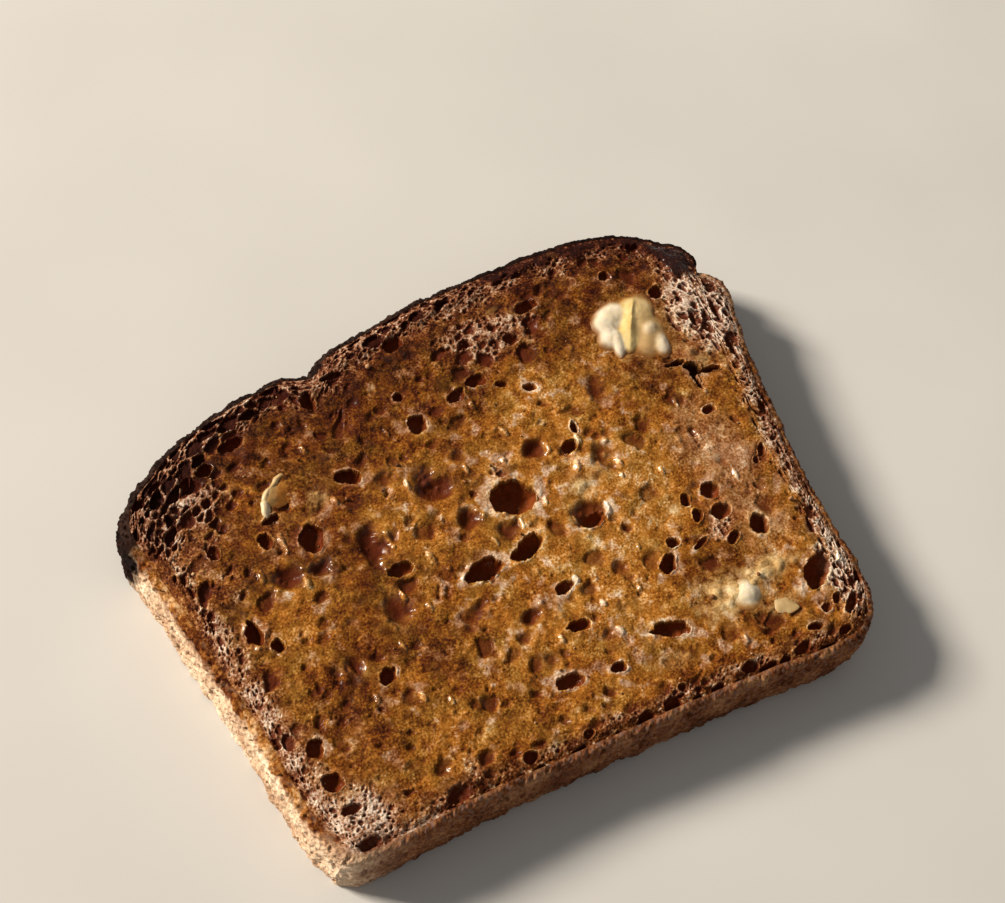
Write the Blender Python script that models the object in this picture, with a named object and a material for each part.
"""Slice of toasted wholemeal tin loaf with knobs of butter on it, lying flat with its cut face up.

The slice is one solid. Its face is a grid stretched between four edge curves (front, right side,
crown and left side), its wall is a short profile carried round those edges, and its underside is
flat. Each piece of butter is a low uneven dome that sits on a small level seat in the face.
Millimetres are used for all sizes and become metres where a mesh is made.
"""

import math

import bmesh
import bpy
import numpy as np
from mathutils import Vector, noise

MM = 0.001

# Driving dimensions, in mm. Face coordinates: x to the right from the front left corner,
# y from the front edge towards the burnt crown.
THICKNESS = 12.0
EDGE_ROUND = 1.3
FOOT_ROUND = 1.1
WALL_BULGE = 0.3
CUT_SLANT = Vector((-1.0, -0.6))
BUTTER_GAP = 0.35
SEAT_BLEND = 2.5

# Cells of the face grid, across and from front to crown.
CELLS_X = 56
CELLS_Y = 42

# The four edges of the face. Each list runs from one corner of the slice to the next.
FRONT_EDGE = (
    (-1.9, 2.4), (0.2, 0.7), (4.0, 0.4), (21.0, 0.9), (48.6, 0.3),
    (77.6, -0.8), (90.0, -1.7), (95.8, -0.9), (98.9, 1.3),
)
RIGHT_EDGE = (
    (98.9, 1.3), (101.0, 4.8), (102.1, 10.0), (102.4, 20.0), (103.2, 30.0),
    (105.0, 42.0), (107.0, 53.4), (109.7, 64.0), (111.3, 69.4), (111.2, 71.6),
)
CROWN_EDGE = (
    (-10.2, 70.0), (-7.6, 73.0), (-3.0, 76.2), (3.6, 79.8), (11.0, 82.0),
    (20.0, 84.0), (26.0, 84.3), (29.3, 83.1), (33.0, 85.5), (40.0, 87.3),
    (53.0, 89.6), (70.2, 90.8), (83.2, 91.0), (91.6, 90.3), (98.9, 87.8),
    (104.4, 83.8), (107.7, 81.0), (108.7, 78.0), (107.5, 75.4), (109.2, 74.2),
    (111.2, 71.6),
)
LEFT_EDGE = (
    (-1.9, 2.4), (-3.4, 6.0), (-4.8, 15.0), (-5.6, 25.0), (-6.9, 35.0),
    (-8.3, 46.0), (-9.3, 54.0), (-10.6, 62.0), (-11.0, 66.6), (-10.2, 70.0),
)

# The largest holes of the crumb: centre x, y, length, width, turn in degrees, depth.
HOLES = (
    (51.5, 46.5, 8.4, 6.8, -15.0, 4.4),
    (40.5, 36.5, 6.8, 4.6, 10.0, 3.6),
    (49.2, 37.2, 6.6, 4.0, 25.0, 3.6),
    (62.3, 38.0, 6.4, 4.8, 0.0, 3.0),
    (42.6, 45.8, 4.6, 4.0, 20.0, 1.6),
    (40.3, 53.6, 6.6, 5.4, 0.0, 1.5),
    (16.8, 53.3, 5.8, 4.8, 70.0, 2.4),
    (10.0, 48.2, 5.4, 5.0, 0.0, 1.3),
    (25.2, 48.4, 7.4, 5.0, 80.0, 1.3),
    (93.6, 12.4, 8.2, 5.2, 35.0, 3.8),
    (89.0, 24.4, 4.6, 4.4, 80.0, 2.8),
    (63.8, 13.6, 6.4, 3.8, -18.0, 2.6),
    (70.2, 24.2, 5.2, 3.8, 35.0, 2.4),
    (27.0, 61.6, 5.0, 3.6, -15.0, 2.0),
    (60.0, 53.2, 4.6, 4.4, 0.0, 1.4),
    (43.0, 66.0, 4.4, 3.8, 60.0, 1.7),
    (1.0, 41.5, 4.8, 3.4, 85.0, 2.4),
    (51.2, 28.0, 4.4, 3.6, 5.0, 2.0),
    (50.0, 20.8, 4.4, 3.6, -10.0, 2.2),
    (44.2, 12.6, 5.0, 3.6, -10.0, 1.9),
    (84.2, 33.4, 4.2, 4.0, 0.0, 1.9),
    (12.0, 76.2, 4.8, 3.6, 15.0, 2.0),
)

# Pieces of butter: centre x, y, length, width, turn in degrees, height, wave of the outline,
# rings and sectors of the mesh.
BUTTER = {
    "butter_pat": (88.6, 69.2, 14.6, 11.6, -68.0, 3.4, 0.13, 8, 40),
    "butter_knob": (80.0, 13.8, 4.4, 4.0, 20.0, 2.2, 0.06, 5, 20),
    "butter_flake": (84.8, 8.9, 4.6, 2.8, -18.0, 0.9, 0.12, 4, 18),
    "butter_sliver": (15.0, 63.4, 7.2, 3.6, 28.0, 1.3, 0.14, 5, 24),
}

TOAST_COLOUR = (0.20, 0.085, 0.025)
BUTTER_COLOUR = (0.86, 0.72, 0.40)


def clear_scene():
    for thing in list(bpy.data.objects):
        bpy.data.objects.remove(thing)


def material(name, colour, roughness):
    made = bpy.data.materials.new(name)
    made.use_nodes = True
    shader = made.node_tree.nodes["Principled BSDF"]
    shader.inputs["Base Color"].default_value = (*colour, 1.0)
    shader.inputs["Roughness"].default_value = roughness
    shader.inputs["Metallic"].default_value = 0.0
    return made


def smooth_edge(landmarks, cells):
    """Points at equal steps along a cubic curve through the landmarks, whose tangent at each one
    is the chord between its neighbours."""
    marks = np.array(landmarks, float)
    gaps = np.linalg.norm(np.diff(marks, axis=0), axis=1)
    knots = np.concatenate([[0.0], np.cumsum(gaps)])
    slopes = np.gradient(marks, knots, axis=0)
    fine = np.linspace(0.0, knots[-1], 40 * cells + 1)
    span = np.clip(np.searchsorted(knots, fine, side="right") - 1, 0, len(gaps) - 1)
    width = gaps[span][:, None]
    t = ((fine - knots[span]) / gaps[span])[:, None]
    curve = (
        (2 * t**3 - 3 * t**2 + 1) * marks[span]
        + (t**3 - 2 * t**2 + t) * width * slopes[span]
        + (3 * t**2 - 2 * t**3) * marks[span + 1]
        + (t**3 - t**2) * width * slopes[span + 1]
    )
    steps = np.linalg.norm(np.diff(curve, axis=0), axis=1)
    length = np.concatenate([[0.0], np.cumsum(steps)])
    wanted = np.linspace(0.0, length[-1], cells + 1)
    return np.stack([np.interp(wanted, length, curve[:, axis]) for axis in (0, 1)], axis=1)


def closed_ring(front, right, crown, left):
    """The four edges as one anticlockwise ring that doesn't repeat its corners."""
    return np.concatenate([front[:-1], right[:-1], crown[:0:-1], left[:0:-1]])


def outward(ring):
    """Unit normals of an anticlockwise ring, from the chord between each point's neighbours."""
    chord = np.roll(ring, -1, axis=0) - np.roll(ring, 1, axis=0)
    normal = np.stack([chord[:, 1], -chord[:, 0]], axis=1)
    return normal / np.linalg.norm(normal, axis=1)[:, None]


def stretched_grid(front, right, crown, left):
    """Points between four edge curves: the blend across plus the blend along, less the blend of
    the corners that both of them hold."""
    u = np.linspace(0.0, 1.0, len(front))[:, None, None]
    v = np.linspace(0.0, 1.0, len(left))[None, :, None]
    along = (1 - v) * front[:, None] + v * crown[:, None]
    across = (1 - u) * left[None] + u * right[None]
    corners = (
        (1 - u) * (1 - v) * front[0] + u * (1 - v) * front[-1]
        + (1 - u) * v * crown[0] + u * v * crown[-1]
    )
    return along + across - corners


def in_ellipse(x, y, spot):
    """Distance from a spot's centre as a share of its half length and half width."""
    cx, cy, length, width, turn = spot[:5]
    angle = math.radians(turn)
    along = (x - cx) * math.cos(angle) + (y - cy) * math.sin(angle)
    across = (y - cy) * math.cos(angle) - (x - cx) * math.sin(angle)
    return math.hypot(along / (length / 2), across / (width / 2))


def face_height(x, y):
    """Height of the cut face: slow waves and small lumps, sunk at the holes, level at the butter."""
    slow = 0.45 * noise.noise(Vector((x / 23.0, y / 23.0, 1.7)))
    lumps = 0.30 * noise.noise(Vector((x / 6.0, y / 6.0, 8.3)))
    sunk = 0.0
    for hole in HOLES:
        reach = in_ellipse(x, y, hole)
        if reach < 1.0:
            sunk = max(sunk, hole[5] * math.sqrt(1.0 - reach**2))
    level = 0.0
    for piece in BUTTER.values():
        reach = (in_ellipse(x, y, piece) - 1.0) * piece[3] / 2 / SEAT_BLEND
        share = 1.0 - min(max(reach, 0.0), 1.0)
        level = max(level, share * share * (3 - 2 * share))
    return THICKNESS + (1.0 - level) * (slow + lumps - sunk)


def add_object(name, mesh_data, finish):
    mesh = bpy.data.meshes.new(name)
    mesh_data.to_mesh(mesh)
    mesh_data.free()
    mesh.shade_smooth()
    mesh.set_sharp_from_angle(angle=math.radians(50))
    mesh.materials.append(finish)
    made = bpy.data.objects.new(name, mesh)
    bpy.context.scene.collection.objects.link(made)
    return made


def add_ring(shape, points, heights):
    return [shape.verts.new((x * MM, y * MM, z * MM)) for (x, y), z in zip(points, heights)]


def join_rings(shape, upper, lower):
    """Faces between two rings that run anticlockwise, the upper one first."""
    count = len(upper)
    for i in range(count):
        after = (i + 1) % count
        shape.faces.new((upper[i], lower[i], lower[after], upper[after]))


def slice_solid(finish):
    """The slice: face grid, five rings down the wall, and the flat underside."""
    edges = (
        smooth_edge(FRONT_EDGE, CELLS_X),
        smooth_edge(RIGHT_EDGE, CELLS_Y),
        smooth_edge(CROWN_EDGE, CELLS_X),
        smooth_edge(LEFT_EDGE, CELLS_Y),
    )
    rim = closed_ring(*edges)
    normal = outward(rim)
    inner = rim - EDGE_ROUND * normal
    corners = (0, CELLS_X, CELLS_X + CELLS_Y, 2 * CELLS_X + CELLS_Y, len(rim))
    closed = np.concatenate([inner, inner[:1]])
    front, right, crown, left = (
        closed[start : end + 1] for start, end in zip(corners[:-1], corners[1:])
    )
    grid = stretched_grid(front, right, crown[::-1], left[::-1])

    shape = bmesh.new()
    rows = [
        [shape.verts.new((x * MM, y * MM, face_height(x, y) * MM)) for x, y in row] for row in grid
    ]
    for near, far in zip(rows[:-1], rows[1:]):
        for j in range(CELLS_Y):
            shape.faces.new((near[j], far[j], far[j + 1], near[j + 1]))
    upper = (
        [rows[i][0] for i in range(CELLS_X)]
        + [rows[CELLS_X][j] for j in range(CELLS_Y)]
        + [rows[i][CELLS_Y] for i in range(CELLS_X, 0, -1)]
        + [rows[0][j] for j in range(CELLS_Y, 0, -1)]
    )
    face_z = np.array([v.co.z for v in upper]) / MM

    slant = np.array(CUT_SLANT)
    shoulder = math.sin(math.radians(45))
    wall = (
        (-EDGE_ROUND * (1 - shoulder), 0.0, face_z - EDGE_ROUND * (1 - shoulder)),
        (0.0, 0.1, face_z - EDGE_ROUND),
        (WALL_BULGE, 0.5, np.full(len(rim), THICKNESS / 2)),
        (0.0, 0.9, np.full(len(rim), FOOT_ROUND)),
        (-FOOT_ROUND, 1.0, np.zeros(len(rim))),
    )
    for offset, lean, heights in wall:
        lower = add_ring(shape, rim + offset * normal + lean * slant, heights)
        join_rings(shape, upper, lower)
        upper = lower
    shape.faces.new(upper[::-1])
    return add_object("toast_slice", shape, finish)


def butter_solid(name, size, finish):
    """A low dome on a flat base. The outline waves in and out, the top swells and dips, and the
    edge is rounded as melted butter is."""
    cx, cy, length, width, turn, height, wave, rings, sectors = size
    angle = math.radians(turn)
    base = THICKNESS + BUTTER_GAP
    lip = 0.22
    phase = len(name) + cx
    shape = bmesh.new()
    loops = []
    for ring in range(rings):
        share = 1.0 - ring / rings
        loop = []
        for sector in range(sectors):
            round_angle = 2 * math.pi * sector / sectors
            swell = 1 + wave * math.sin(3 * round_angle + phase)
            swell += 0.5 * wave * math.sin(5 * round_angle + 2 * phase)
            along = share * swell * length / 2 * math.cos(round_angle)
            across = share * swell * width / 2 * math.sin(round_angle)
            x = cx + along * math.cos(angle) - across * math.sin(angle)
            y = cy + along * math.sin(angle) + across * math.cos(angle)
            dome = (1 - share**3) ** 0.6
            lump = 1 + 0.35 * noise.noise(Vector((x / 3.0, y / 3.0, phase)))
            z = base + lip * height + (1 - lip) * height * dome * lump
            loop.append(shape.verts.new((x * MM, y * MM, z * MM)))
        loops.append(loop)
    for outer, inner in zip(loops[:-1], loops[1:]):
        join_rings(shape, inner, outer)
    middle = sum((v.co for v in loops[-1]), Vector()) / sectors
    top = shape.verts.new(middle)
    for sector in range(sectors):
        shape.faces.new((loops[-1][sector], loops[-1][(sector + 1) % sectors], top))
    foot = [shape.verts.new((v.co.x, v.co.y, base * MM)) for v in loops[0]]
    join_rings(shape, loops[0], foot)
    shape.faces.new(foot[::-1])
    return add_object(name, shape, finish)


def centre_on_origin(pieces):
    """Moves every piece alike, so that the slice stands centred on the origin."""
    corners = np.array([v.co for v in pieces[0].data.vertices])
    middle = (corners.min(axis=0) + corners.max(axis=0)) / 2
    for piece in pieces:
        piece.location = (-middle[0], -middle[1], 0.0)


def main():
    clear_scene()
    toast = material("toasted_crumb", TOAST_COLOUR, 0.7)
    butter = material("butter", BUTTER_COLOUR, 0.4)
    pieces = [slice_solid(toast)]
    for name, size in BUTTER.items():
        pieces.append(butter_solid(name, size, butter))
    centre_on_origin(pieces)


main()
